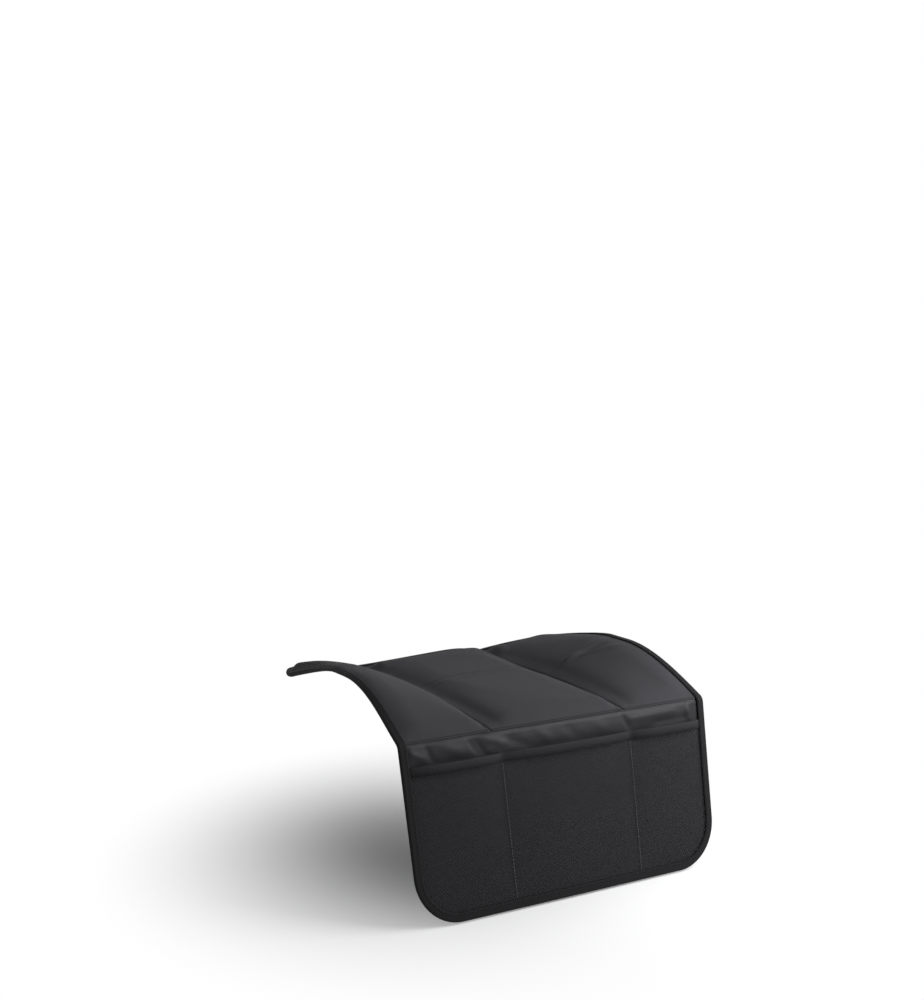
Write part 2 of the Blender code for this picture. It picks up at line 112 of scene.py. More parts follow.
# Edge binding and pockets
BINDING_WIDTH = 0.0110
BINDING_WALL = 0.0006
POCKET_TOP = 0.0270
POCKET_TAPE_WIDTH = 0.0105
LEFT_DIVIDER_X = -0.090
RIGHT_DIVIDER_X = 0.104
DIVIDER_WIDTH = 0.004
POCKET_FULLNESS = 0.009
POCKET_ACROSS_POWER = 3.0
POCKET_DOWN_POWER = 2.2

# Sizes that follow from those above
HALF_WIDTH = MAT_WIDTH / 2
SEAM_X = SEAM_SPACING / 2
LAYER_INSET = BINDING_WALL + CLOTH_GAP
PAD_BASE = BACKING_THICKNESS + CLOTH_GAP
NET_BASE = FLAP_THICKNESS + TAPE_THICKNESS + 2 * CLOTH_GAP
NET_FREE_INSET = BINDING_WIDTH + CLOTH_GAP

# Distances between the points of the fine meshes
BACKING_STEP = 0.0060
PAD_STEP = 0.0040
PATH_STEP = 0.0030
FINE_STEP = 0.0020

# Shape of the padding, which rises from its sewn edges and is fuller at the left rear corner
EXTRA_CROWN = 0.0025
STITCHED_FLAT = 0.0042
BAND_WIDTH = 0.045
BAND_POWER = 0.85
REAR_SHOULDER = 0.050
REAR_LEFT_SHOULDER = 0.010
REAR_LEFT_FROM = 0.235
REAR_LEFT_RUN = 0.080
DIRECT_FOLD_SHOULDER = 0.006

# Padding: how the face cloth swells when its seams are pinned
SWELL_PRESSURE = 4.0
SWELL_FRAMES = 20
SWELL_QUALITY = 6
SWELL_CAP = 0.0030
SWELL_STRETCH = -0.001
SWELL_BENDING = 12.0
PIN_FALL = 3.0

# Flap's plain strip, with a lip just under the fold seam
FOLD_TUCK = 0.0050
STRIP_BULGE = 0.0016
LIP_HEIGHT = 0.0003
LIP_AT = 0.0040
LIP_WIDTH = 0.0016

# Net of zigzag strands, with folds that are full from a share of the pockets' depth on
NET_PITCH_ACROSS = 0.0021
NET_PITCH_DOWN = 0.00125
NET_STRAND_RADIUS = 0.00024
NET_STRAND_SIDES = 3
NET_FOLDS_FULL_AT = 0.1

# Both tapes' points round a fold, the binding's points along a leaf, and its heights
BEND_POINTS = 9
LEAF_POINTS = 6
LEAF_END_SHARE = 0.25
BINDING_EDGE_LIFT = 0.0030
BINDING_FLAP_LIFT = 0.0029
BINDING_SAG = 0.0030

# Stitches: their size, their profile in shares of length and in radii, and their places
THREAD_RADIUS = 0.00034
THREAD_SIDES = 5
STITCH_PITCH = 0.0040
STITCH_LENGTH = 0.0031
STITCH_SHARES = np.array([0.0, 0.12, 0.35, 0.65, 0.88, 1.0])
STITCH_RISES = np.array([-1.2, 0.1, 0.8, 0.8, 0.1, -1.2])
SEAM_STITCH_OFFSET = 0.0030
FOLD_STITCH_BACK = 0.0022
SEAM_STITCH_FROM = 3 * FOLD_STITCH_BACK
BINDING_STITCH_INSET = 0.0090
TAPE_STITCH_UP = 0.0016

# How many widths a fold's ends fade over
FOLD_END_FADE = 1.6

# Folds, listed one by one: start u, start v, end u, end v, width, height
PAD_FOLDS = (
    (0.092, 0.158, 0.222, 0.200, 0.0050, 0.0022), (0.106, 0.180, 0.152, 0.178, 0.0045, 0.0016),
    (0.140, 0.180, 0.200, 0.148, 0.0050, 0.0020), (0.125, 0.171, 0.190, 0.172, 0.0050, -0.0018),
    (0.095, 0.186, 0.215, 0.214, 0.0070, -0.0014), (-0.098, 0.194, 0.090, 0.206, 0.0028, -0.0014),
    (-0.098, 0.187, 0.090, 0.199, 0.0035, 0.0008), (-0.205, 0.196, -0.104, 0.196, 0.0035, -0.0012),
    (-0.087, 0.012, -0.087, 0.320, 0.0095, -0.0048), (0.114, 0.012, 0.114, 0.320, 0.0095, -0.0038),
    (-0.200, 0.188, -0.104, 0.189, 0.0040, 0.0007))

# Folds beside the seams and at the rear that don't thin out with the padding
DIRECT_FOLDS = (
    (-0.1083, 0.020, -0.1083, 0.350, 0.0030, 0.0013), (0.0917, 0.020, 0.0917, 0.350, 0.0030, 0.0013),
    (-0.082, 0.326, -0.072, 0.360, 0.0085, 0.0035), (0.119, 0.326, 0.127, 0.360, 0.0085, 0.0035))

# Folds of the plain strip and of the net
STRIP_FOLDS = (
    (-0.214, -0.010, -0.200, -0.018, 0.0040, 0.0012), (-0.192, -0.006, -0.186, -0.024, 0.0045, -0.0014),
    (-0.168, -0.006, -0.150, -0.018, 0.0080, 0.0012), (-0.128, -0.008, -0.118, -0.024, 0.0060, -0.0032),
    (-0.108, -0.006, -0.088, -0.014, 0.0050, 0.0014), (-0.108, -0.022, -0.090, -0.018, 0.0030, 0.0010),
    (-0.072, -0.014, -0.052, -0.024, 0.0070, -0.0014), (-0.034, -0.005, -0.020, -0.020, 0.0070, 0.0010),
    (0.010, -0.008, 0.022, -0.024, 0.0070, -0.0008), (0.052, -0.006, 0.064, -0.020, 0.0080, 0.0008),
    (0.098, -0.010, 0.104, -0.024, 0.0040, -0.0014), (0.112, -0.010, 0.172, -0.008, 0.0060, 0.0016),
    (0.150, -0.022, 0.198, -0.021, 0.0050, -0.0018), (0.199, -0.004, 0.202, -0.024, 0.0040, 0.0018),
    (0.210, -0.004, 0.212, -0.026, 0.0035, -0.0022))
NET_FOLDS = (
    (-0.214, -0.045, -0.170, -0.075, 0.0060, -0.0016), (-0.096, -0.045, -0.135, -0.085, 0.0060, -0.0016),
    (-0.060, -0.050, -0.030, -0.110, 0.0080, -0.0014), (0.098, -0.050, 0.060, -0.105, 0.0080, -0.0016),
    (0.112, -0.048, 0.150, -0.082, 0.0060, -0.0016), (0.212, -0.048, 0.182, -0.090, 0.0060, -0.0016),
    (-0.196, -0.190, -0.150, -0.180, 0.0040, 0.0012), (-0.150, -0.192, -0.110, -0.176, 0.0040, 0.0010),
    (0.120, -0.182, 0.165, -0.190, 0.0040, 0.0010))

# Colours, in linear values
PAD_COLOUR = (0.0445, 0.0435, 0.0475)
LINING_COLOUR = (0.018, 0.017, 0.019)
BACKING_COLOUR = (0.014, 0.014, 0.015)
NET_COLOUR = (0.050, 0.048, 0.052)
BINDING_COLOUR = (0.013, 0.013, 0.014)
POCKET_TAPE_COLOUR = (0.024, 0.023, 0.025)
THREAD_COLOUR = (0.010, 0.010, 0.011)
# Divider threads: a painted highlight, a paler colour that stands in for the light their stitches catch
DIVIDER_HIGHLIGHT_COLOUR = (0.110, 0.108, 0.112)

# Cloth: weave pitches and depths in metres, and what all cloths share
PAD_WEAVE = (0.0011, 0.00015)
LINING_WEAVE = (0.0005, 0.00005)
BACKING_WEAVE = (0.0030, 0.0006)
TAPE_WEAVE = (0.0009, 0.00012)
NET_TWIST = (0.0004, 0.00003)
PATCH_SCALE = 9.0
FIBRE_SCALE = 900.0
PATCH_DETAIL = 2.0
FIBRE_DETAIL = 3.0
BUMP_STRENGTH = 0.8
SHEEN_TINT = (0.80, 0.82, 0.90, 1.0)

# Floor: size, drop below the mat, paper and distances between which it fades to white
FLOOR_SIZE = 12.0
FLOOR_DROP = 0.002
FLOOR_COLOUR = (0.90, 0.90, 0.90)
FLOOR_ROUGHNESS = 0.9
FLOOR_WHITE_FROM = 0.10
FLOOR_WHITE_TO = 0.55

# Light: places, sizes in metres and powers in watts
WORLD_COLOUR = (0.97, 0.98, 1.0, 1.0)
WORLD_STRENGTH = 0.23
KEY_PLACE = (0.58, -0.66, 0.45)
KEY_SIZE = 0.6
KEY_POWER = 12.0
SIDE_PLACE = (1.3, -0.1, 0.7)
SIDE_SIZE = 0.8
SIDE_POWER = 4.0

# Camera, fitted to the photograph
CAMERA_PLACE = (-0.96266, -1.60099, 0.46329)
CAMERA_TURN = np.radians(29.967)
CAMERA_DIP = np.radians(6.318)
CAMERA_LENS = 50.4
SENSOR = 36.0


# Drape of the flat cloth

def smooth_hump(distance):
    """Rise of the cushion's front, from 0 at the fold seam to 1 at the crest."""
    return np.sin(np.pi / 2 * np.clip(distance / CREST_START, 0.0, 1.0))


def side_share(u):
    """0 over the flat middle of the cushion, growing to 1 at the mat's side edge."""
    reach = np.clip((np.abs(u) - FLAT_HALF_WIDTH) / (HALF_WIDTH - FLAT_HALF_WIDTH), 0.0, 1.0)
    return reach ** BOLSTER_POWER


def rear_height(u):
    """Height of the rear edge, which dips at both seams and rises under each padded panel."""
    outward = np.clip((np.abs(u) - SEAM_X) / (HALF_WIDTH - SEAM_X), 0.0, 1.0)
    side_wave = SIDE_REAR_WAVE * np.sin(np.pi * outward)
    share = np.clip((u + SEAM_X) / SEAM_SPACING, 0.0, 1.0)
    centre_wave = CENTRE_REAR_RISE * share ** CENTRE_RISE_POWER * (1.0 - share ** CENTRE_DROP_POWER)
    return SEAM_REAR_HEIGHT + outward * (SIDE_REAR_HEIGHT - SEAM_REAR_HEIGHT) + side_wave + centre_wave


def cushion_slope(u, y):
    """Slope of the cushion's surface along Y at distance y behind the fold seam."""
    side_crest = np.where(u < 0, LEFT_CREST_HEIGHT, RIGHT_CREST_HEIGHT)
    crest = CENTRE_CREST_HEIGHT + side_share(u) * (side_crest - CENTRE_CREST_HEIGHT)
    front_slope = crest * np.pi / 2 / CREST_START * np.cos(np.pi / 2 * y / CREST_START)
    run = SEAT_LENGTH - CREST_END
    back = np.clip((y - CREST_END) / run, 0.0, 1.0)
    fall = crest - rear_height(u)
    back_slope = -fall * REAR_FALL_POWER * back ** (REAR_FALL_POWER - 1.0) / run
    return np.where(y < CREST_START, front_slope, np.where(y < CREST_END, 0.0, back_slope))


def edge_roll(u, v):
    """How far the cushion's rounded side edges draw the cloth in and let it down."""
    share = np.clip(1.0 - (HALF_WIDTH - np.abs(u)) / EDGE_ROLL_WIDTH, 0.0, 1.0)
    full_turn = np.where(u < 0, LEFT_ROLL_TURN, RIGHT_ROLL_TURN)
    turn = np.maximum(full_turn * smooth_hump(v), LEAST_ROLL_TURN)
    drawn = EDGE_ROLL_WIDTH * (share - np.sin(turn * share) / turn)
    down = EDGE_ROLL_WIDTH * (1.0 - np.cos(turn * share)) / turn
    return drawn, down


def drape_table():
    """Y, Z and side-to-side position of the cloth on a lattice of flat coordinates."""
    u = np.linspace(-HALF_WIDTH, HALF_WIDTH, 2 * round(HALF_WIDTH / DRAPE_STEP_ACROSS) + 1)
    steps_back = round(SEAT_LENGTH / DRAPE_STEP) + DRAPE_MARGIN_STEPS
    steps_down = round(FLAP_LENGTH / DRAPE_STEP) + DRAPE_MARGIN_STEPS
    v = DRAPE_STEP * np.arange(-steps_down, steps_back + 1)
    y = np.zeros((len(u), len(v)))
    z = np.zeros((len(u), len(v)))
    flap_angle = np.pi / 2 - FLAP_TILT
    for k in range(steps_down, len(v) - 1):
        seat_angle = np.arctan(cushion_slope(u, np.maximum(y[:, k], 0.0)))
        mix = np.clip((v[k] + DRAPE_STEP / 2 + FOLD_BLEND / 2) / FOLD_BLEND, 0.0, 1.0)
        angle = flap_angle + (seat_angle - flap_angle) * mix
        y[:, k + 1] = y[:, k] + DRAPE_STEP * np.cos(angle)
        z[:, k + 1] = z[:, k] + DRAPE_STEP * np.sin(angle)
    fold_angle = np.arctan(cushion_slope(u, np.zeros(len(u))))
    for k in range(steps_down, 0, -1):
        mix = np.clip((v[k] - DRAPE_STEP / 2 + FOLD_BLEND / 2) / FOLD_BLEND, 0.0, 1.0)
        angle = flap_angle + (fold_angle - flap_angle) * mix
        y[:, k - 1] = y[:, k] - DRAPE_STEP * np.cos(angle)
        z[:, k - 1] = z[:, k] - DRAPE_STEP * np.sin(angle)
    seat_draw = CREST_SIDE_DRAW * np.sin(np.pi * np.clip(v / SEAT_LENGTH, 0.0, 1.0))
    drawn_in = np.where(v > 0, seat_draw, FLAP_SIDE_DRAW * -v / FLAP_LENGTH)
    outward = np.clip((DROOP_WIDTH - HALF_WIDTH - u) / DROOP_WIDTH, 0.0, 1.0)
    backward = np.clip((v - SEAT_LENGTH + DROOP_LENGTH) / DROOP_LENGTH, 0.0, 1.0)
    roll_in, roll_down = edge_roll(u[:, None], v[None, :])
    z = z - LEFT_EDGE_DROOP * outward[:, None] ** DROOP_POWER * backward[None, :] - roll_down
    x = u[:, None] * (1.0 - drawn_in[None, :]) - np.sign(u)[:, None] * roll_in
    return u, v, np.stack([x, y, z], axis=-1)


TABLE_U, TABLE_V, TABLE_POINT = drape_table()


def table_normals():
    """Unit normals of the cloth's lattice, pointing up from the seat and out from the flap."""
    across = np.gradient(TABLE_POINT, TABLE_U, axis=0)
    along = np.gradient(TABLE_POINT, TABLE_V, axis=1)
    normal = np.cross(across, along)
    return normal / np.linalg.norm(normal, axis=-1, keepdims=True)


TABLE_NORMAL = table_normals()


def sample(table, u, v):
    """Value of a lattice table at flat coordinates, by straight interpolation."""
    at_u = np.interp(u, TABLE_U, np.arange(len(TABLE_U)))
    at_v = np.interp(v, TABLE_V, np.arange(len(TABLE_V)))
    i = np.minimum(at_u.astype(int), len(TABLE_U) - 2)
    j = np.minimum(at_v.astype(int), len(TABLE_V) - 2)
    share_u = (at_u - i)[..., None]
    share_v = (at_v - j)[..., None]
    near = table[i, j] * (1 - share_u) + table[i + 1, j] * share_u
    far = table[i, j + 1] * (1 - share_u) + table[i + 1, j + 1] * share_u
    return near * (1 - share_v) + far * share_v


def normal_at(u, v):
    """Unit normals of the cloth at flat coordinates."""
    normal = sample(TABLE_NORMAL, u, v)
    return normal / np.linalg.norm(normal, axis=-1, keepdims=True)


def place(u, v, lift):
    """World points of flat coordinates lifted off the cushion along the cloth's normal."""
    u, v, lift = np.broadcast_arrays(np.asarray(u, float), v, lift)
    return sample(TABLE_POINT, u, v) + normal_at(u, v) * lift[..., None] - ORIGIN


def cloth_length_to(y):
    """Length of cloth from the fold seam to distance y behind it, along the middle."""
    middle = sample(TABLE_POINT, np.zeros(len(TABLE_V)), TABLE_V)
    return float(np.interp(y, middle[:, 1], TABLE_V))


CREST_FROM_V = cloth_length_to(CREST_START)
CREST_TO_V = cloth_length_to(CREST_END)
ORIGIN = sample(TABLE_POINT, np.array(0.0), np.array((CREST_FROM_V + CREST_TO_V) / 2))


# Outline of the flat mat

def half_width_at(v, inset):
    """Half the mat's width at v, with the rounded corners, inset from its edge."""
    corner = np.where(v > 0, REAR_CORNER_RADIUS, FLAP_CORNER_RADIUS)
    radius = corner - inset
    length = np.where(v > 0, SEAT_LENGTH, FLAP_LENGTH)
    over = np.clip(np.abs(v) - (length - corner), 0.0, radius)
    return HALF_WIDTH - corner + np.sqrt(np.maximum(radius ** 2 - over ** 2, 0.0))


def edge_distance(u, v):
    """Distance inwards from the mat's outline."""
    corner = np.where(v > 0, REAR_CORNER_RADIUS, FLAP_CORNER_RADIUS)
    length = np.where(v > 0, SEAT_LENGTH, FLAP_LENGTH)
    du = np.abs(u) - (HALF_WIDTH - corner)
    dv = np.abs(v) - (length - corner)
    outside = np.hypot(np.maximum(du, 0.0), np.maximum(dv, 0.0))
    return corner - outside - np.minimum(np.maximum(du, dv), 0.0)


def even(start, stop, step):
    """Evenly spaced values from start to stop, about a step apart."""
    return np.linspace(start, stop, max(2, round(abs(stop - start) / step)) + 1)


def rows_to_end(start, length, corner, step):
    """Distances from the fold seam of a layer's rows, on through the rounded corner at its end."""
    radius = corner - LAYER_INSET
    turn = np.linspace(0.0, np.pi / 2, round(radius * np.pi / 2 / step) + 1)
    straight = even(start, length - corner, step)
    return np.concatenate([straight[:-1], (length - corner) + radius * np.sin(turn)])


def seat_rows(start, step):
    return rows_to_end(start, SEAT_LENGTH, REAR_CORNER_RADIUS, step)


def flap_rows(start, step):
    return -rows_to_end(start, FLAP_LENGTH, FLAP_CORNER_RADIUS, step)


def outline_path(step):
    """Stations once round the mat's outline: u, v and the inward direction."""
    rear_u = HALF_WIDTH - REAR_CORNER_RADIUS
    rear_v = SEAT_LENGTH - REAR_CORNER_RADIUS
    low_u = HALF_WIDTH - FLAP_CORNER_RADIUS
    low_v = FLAP_CORNER_RADIUS - FLAP_LENGTH
    stations = [(HALF_WIDTH, v, -1.0, 0.0) for v in even(low_v, rear_v, step)[:-1]]
    stations += corner_stations(rear_u, rear_v, REAR_CORNER_RADIUS, 0.0, step)
    stations += [(u, SEAT_LENGTH, 0.0, -1.0) for u in even(rear_u, -rear_u, step)[:-1]]
    stations += corner_stations(-rear_u, rear_v, REAR_CORNER_RADIUS, np.pi / 2, step)
    stations += [(-HALF_WIDTH, v, 1.0, 0.0) for v in even(rear_v, low_v, step)[:-1]]
    stations += corner_stations(-low_u, low_v, FLAP_CORNER_RADIUS, np.pi, step)
    stations += [(u, -FLAP_LENGTH, 0.0, 1.0) for u in even(-low_u, low_u, step)[:-1]]
    stations += corner_stations(low_u, low_v, FLAP_CORNER_RADIUS, 3 * np.pi / 2, step)
    return np.array(stations)


def corner_stations(centre_u, centre_v, radius, first_angle, step):
    """Stations round a corner, counter-clockwise over a quarter turn, without the last."""
    count = round(radius * np.pi / 2 / step)
    turn = first_angle + np.linspace(0.0, np.pi / 2, count + 1)[:-1]
    return [(centre_u + radius * np.cos(a), centre_v + radius * np.sin(a), -np.cos(a), -np.sin(a))
            for a in turn]


# Meshes from grids of points

def quads(index):
    """Faces of a grid of point numbers, as rows of four."""
    corners = [index[:-1, :-1], index[:-1, 1:], index[1:, 1:], index[1:, :-1]]
    return np.stack(corners, axis=-1).reshape(-1, 4)


def tube_quads(rings, sides, start=0, looped=False):
    """Faces of a tube of rings whose points are numbered from start, joined end to end if looped."""
    index = start + np.arange(rings * sides).reshape(rings, sides)
    index = np.concatenate([index, index[:, :1]], axis=1)
    if looped:
        index = np.concatenate([index, index[:1]], axis=0)
    return quads(index)


def mesh_object(name, points, faces, flat, closed=True):
    """Smooth object with the flat cloth coordinates as its UV map; a closed one faces outwards."""
    mesh = bpy.data.meshes.new(name)
    mesh.from_pydata(points.tolist(), [], faces)
    if closed:
        bm = bmesh.new()
        bm.from_mesh(mesh)
        bmesh.ops.triangulate(bm, faces=[face for face in bm.faces if len(face.verts) > 4])
        bmesh.ops.recalc_face_normals(bm, faces=bm.faces)
        bm.to_mesh(mesh)
        bm.free()
    corners = np.zeros(len(mesh.loops), dtype=np.int32)
    mesh.loops.foreach_get("vertex_index", corners)
    layer = mesh.uv_layers.new(name="flat")
    layer.data.foreach_set("uv", flat[corners].astype(np.float32).ravel())
    mesh.shade_smooth()
    item = bpy.data.objects.new(name, mesh)
    bpy.context.scene.collection.objects.link(item)
    return item


def closed_sheet(name, low, high, u, v):
    """Closed sheet between two grids of points."""
    rows, columns = u.shape
    count = rows * columns
    index = np.arange(count).reshape(rows, columns)
    rim = np.concatenate([index[0], index[1:, -1], index[-1, -2::-1], index[-2:0:-1, 0]])
    following = np.roll(rim, -1)
    walls = np.stack([rim, following, following + count, rim + count], axis=-1)
    faces = np.concatenate([quads(index) + count, quads(index)[:, ::-1], walls]).tolist()
    points = np.concatenate([low.reshape(-1, 3), high.reshape(-1, 3)])
    flat = np.stack([u, v], axis=-1).reshape(-1, 2)
    return mesh_object(name, points, faces, np.concatenate([flat, flat]))


def swept(name, sections, flat, looped):
    """Closed solid through sections, an array of stations by section points by 3."""
    stations, count = sections.shape[:2]
    faces = tube_quads(stations, count, looped=looped).tolist()
    if not looped:
        faces += [list(range(count)), list(range((stations - 1) * count, stations * count))]
    return mesh_object(name, sections.reshape(-1, 3), faces, flat.reshape(-1, 2))


def line_directions(centre):
    """Unit directions along a line of points."""
    along = np.gradient(centre, axis=0)
    return along / np.linalg.norm(along, axis=1, keepdims=True)


def ring_points(centre, upward, across, radius, sides):
    """Points of one ring round each point of a line, laid out by two directions."""
    turns = 2 * np.pi * np.arange(sides) / sides
    outward = (np.cos(turns)[None, :, None] * upward[:, None, :]
               + np.sin(turns)[None, :, None] * across[:, None, :])
    return (centre[:, None, :] + radius * outward).reshape(-1, 3)


def open_tubes(name, tubes, flat, sides):
    """One object from open tubes, each an array of the points of its rings."""
    faces = []
    start = 0
    for points in tubes:
        faces.append(tube_quads(len(points) // sides, sides, start))
        start += len(points)
    return mesh_object(name, np.concatenate(tubes), np.concatenate(faces).tolist(), flat, closed=False)


# Cloth surfaces as heights over the cushion

def shoulder(distance, width):
    """Rounded rise of the padding from a sewn edge, 0 at the edge and 1 past the shoulder."""
    return np.sin(np.pi / 2 * np.clip(distance / width, 0.0, 1.0))


def seam_rise(u):
    """Rise from the seams: each panel rolls tightly down to its right seam, broadly to its left."""
    rise = np.ones(np.shape(u))
    for seam in (-SEAM_X, SEAM_X):
        before = shoulder(seam - STITCHED_FLAT - u, TIGHT_SHOULDER)
        after = shoulder(u - seam - STITCHED_FLAT, BAND_WIDTH) ** BAND_POWER
        rise = rise * np.where(u < seam, before, after)
    return rise


def fold_height(u, v, folds):
    """Height of listed folds: rounded ridges and hollows that fade out at both ends."""
    total = np.zeros(np.broadcast(u, v).shape)
    for start_u, start_v, end_u, end_v, width, height in folds:
        run = np.hypot(end_u - start_u, end_v - start_v)
        along = ((u - start_u) * (end_u - start_u) + (v - start_v) * (end_v - start_v)) / run
        across = ((u - start_u) * (end_v - start_v) - (v - start_v) * (end_u - start_u)) / run
        over = np.maximum(np.abs(along - run / 2) - run / 2, 0.0)
        total = total + height * np.exp(-(across / width) ** 2 - (over / (FOLD_END_FADE * width)) ** 2)
    return total


def rear_left_share(u, v):
    """1 round the left rear corner, where pad and binding are fuller, fading to 0 away from it."""
    return shoulder(v - REAR_LEFT_FROM, REAR_LEFT_RUN) * shoulder(-SEAM_X - u, REAR_LEFT_RUN)


def pad_rise(u, v):
    """Share of the padding's full height: nothing at every seam and under the binding."""
    from_binding = edge_distance(u, v) - BINDING_WIDTH
    fuller = rear_left_share(u, v) * (EDGE_SHOULDER - REAR_LEFT_SHOULDER)
    edge = shoulder(from_binding, EDGE_SHOULDER - fuller)
    rear = np.where(u < -SEAM_X, 1.0, shoulder(SEAT_LENGTH - v, REAR_SHOULDER))
    return seam_rise(u) * edge * shoulder(v - STITCHED_FLAT, EDGE_SHOULDER) * rear


def pad_lift(u, v, crown):
    """Height of the padding's top, with its soft folds and the ones that keep their full height."""
    full = np.maximum(crown + fold_height(u, v, PAD_FOLDS), 0.0)
    from_seam = np.minimum(np.abs(u - SEAM_X), np.abs(u + SEAM_X)) - SEAM_GAP / 2
    held = np.minimum(from_seam, edge_distance(u, v) - BINDING_WIDTH)
    direct = fold_height(u, v, DIRECT_FOLDS) * shoulder(held, DIRECT_FOLD_SHOULDER)
    return PAD_BASE + PAD_EDGE_THICKNESS + full * pad_rise(u, v) + direct


def strip_relief(u, v):
    """How far the flap's plain strip stands out: a lip under the fold, a soft bulge and folds."""
    lip = LIP_HEIGHT * np.exp(-((-v - LIP_AT) / LIP_WIDTH) ** 2)
    share = np.clip(-v / POCKET_TOP, 0.0, 1.0)
    ends = shoulder(edge_distance(u, v) - BINDING_WIDTH, 2 * LIP_AT)
    bulge = (STRIP_BULGE + fold_height(u, v, STRIP_FOLDS)) * np.sin(np.pi * share)
    return (lip * shoulder(-v, LIP_AT) + np.maximum(bulge, 0.0)) * ends


def pocket_edges(side):
    """The three pockets' sides, for a net that is free out to a distance side from the middle."""
    pressed = DIVIDER_WIDTH / 2
    return [(-side, LEFT_DIVIDER_X - pressed), (LEFT_DIVIDER_X + pressed, RIGHT_DIVIDER_X - pressed),
            (RIGHT_DIVIDER_X + pressed, side)]


def pocket_fullness(u, v):
    """How far the net stands off the flap: full at the mouth, nothing at the sewn edges."""
    depth = np.clip((-v - POCKET_TOP) / (FLAP_LENGTH - NET_FREE_INSET - POCKET_TOP), 0.0, 1.0)
    total = np.zeros(np.broadcast(u, v).shape)
    for left, right in pocket_edges(HALF_WIDTH - NET_FREE_INSET):
        share = np.clip((u - left) / (right - left), 0.0, 1.0)
        total = total + 1.0 - np.abs(2.0 * share - 1.0) ** POCKET_ACROSS_POWER
    room = np.clip((edge_distance(u, v) - NET_FREE_INSET) / FLAP_CORNER_RADIUS, 0.0, 1.0)
    rounding = 1.0 - (1.0 - room) ** POCKET_ACROSS_POWER
    fade = 1.0 - depth ** POCKET_DOWN_POWER
    full = np.minimum(total, rounding)
    folds = fold_height(u, v, NET_FOLDS) * full * shoulder(depth, NET_FOLDS_FULL_AT)
    return POCKET_FULLNESS * full * fade + folds


# Materials

def new_material(name, colour, roughness):
    material = bpy.data.materials.new(name)
    material.use_nodes = True
    shader = material.node_tree.nodes["Principled BSDF"]
    shader.inputs["Base Color"].default_value = (*colour, 1.0)
    shader.inputs["Roughness"].default_value = roughness
    shader.inputs["Metallic"].default_value = 0.0
    return material, shader


def math_node(tree, operation, first, second=None):
    """A math node on a socket and a number or another socket; gives its output."""
    node = tree.nodes.new("ShaderNodeMath")
    node.operation = operation
    for socket, value in zip(node.inputs, (first, second)):
        if isinstance(value, bpy.types.NodeSocket):
            tree.links.new(value, socket)
        elif value is not None:
            socket.default_value = value
    return node.outputs[0]


def flat_axes(tree):
    """The flat cloth coordinates, in metres, as two sockets."""
    uv = tree.nodes.new("ShaderNodeUVMap")
    uv.uv_map = "flat"
    split = tree.nodes.new("ShaderNodeSeparateXYZ")
    tree.links.new(uv.outputs[0], split.inputs[0])
    return split.outputs[0], split.outputs[1]


def rounded_ribs(tree, axis, pitch):
    """Height of parallel ribs, one per pitch along an axis, from 0 to 1."""
    phase = math_node(tree, "MULTIPLY", axis, np.pi / pitch)
    return math_node(tree, "ABSOLUTE", math_node(tree, "SINE", phase))


def plain_weave(tree, pitch):
    """Height of a plain weave: warp and weft ribs that take turns on top."""
    u, v = flat_axes(tree)
    warp = rounded_ribs(tree, u, pitch)
    weft = rounded_ribs(tree, v, pitch)
    turn_u = math_node(tree, "FLOOR", math_node(tree, "DIVIDE", u, pitch))
    turn_v = math_node(tree, "FLOOR", math_node(tree, "DIVIDE", v, pitch))
    odd = math_node(tree, "PINGPONG", math_node(tree, "ADD", turn_u, turn_v), 1.0)
    over = math_node(tree, "MULTIPLY", warp, odd)
    rest = math_node(tree, "MULTIPLY", weft, math_node(tree, "SUBTRACT", 1.0, odd))
    return math_node(tree, "ADD", over, rest)


def twill_weave(tree, pitch):
    """Height of a fine twill: ribs that run slantwise."""
    u, v = flat_axes(tree)
    return rounded_ribs(tree, math_node(tree, "ADD", u, v), pitch)


def tape_weave(tree, pitch):
    """Height of a tape's ribs, which run across it."""
    return rounded_ribs(tree, flat_axes(tree)[1], pitch)


def add_noise(tree, scale, detail):
    """Noise over the object's own coordinates, as a socket from 0 to 1."""
    coordinates = tree.nodes.new("ShaderNodeTexCoord")
    noise = tree.nodes.new("ShaderNodeTexNoise")
    noise.inputs["Scale"].default_value = scale
    noise.inputs["Detail"].default_value = detail
    tree.links.new(coordinates.outputs["Object"], noise.inputs["Vector"])
    return noise.outputs["Fac"]


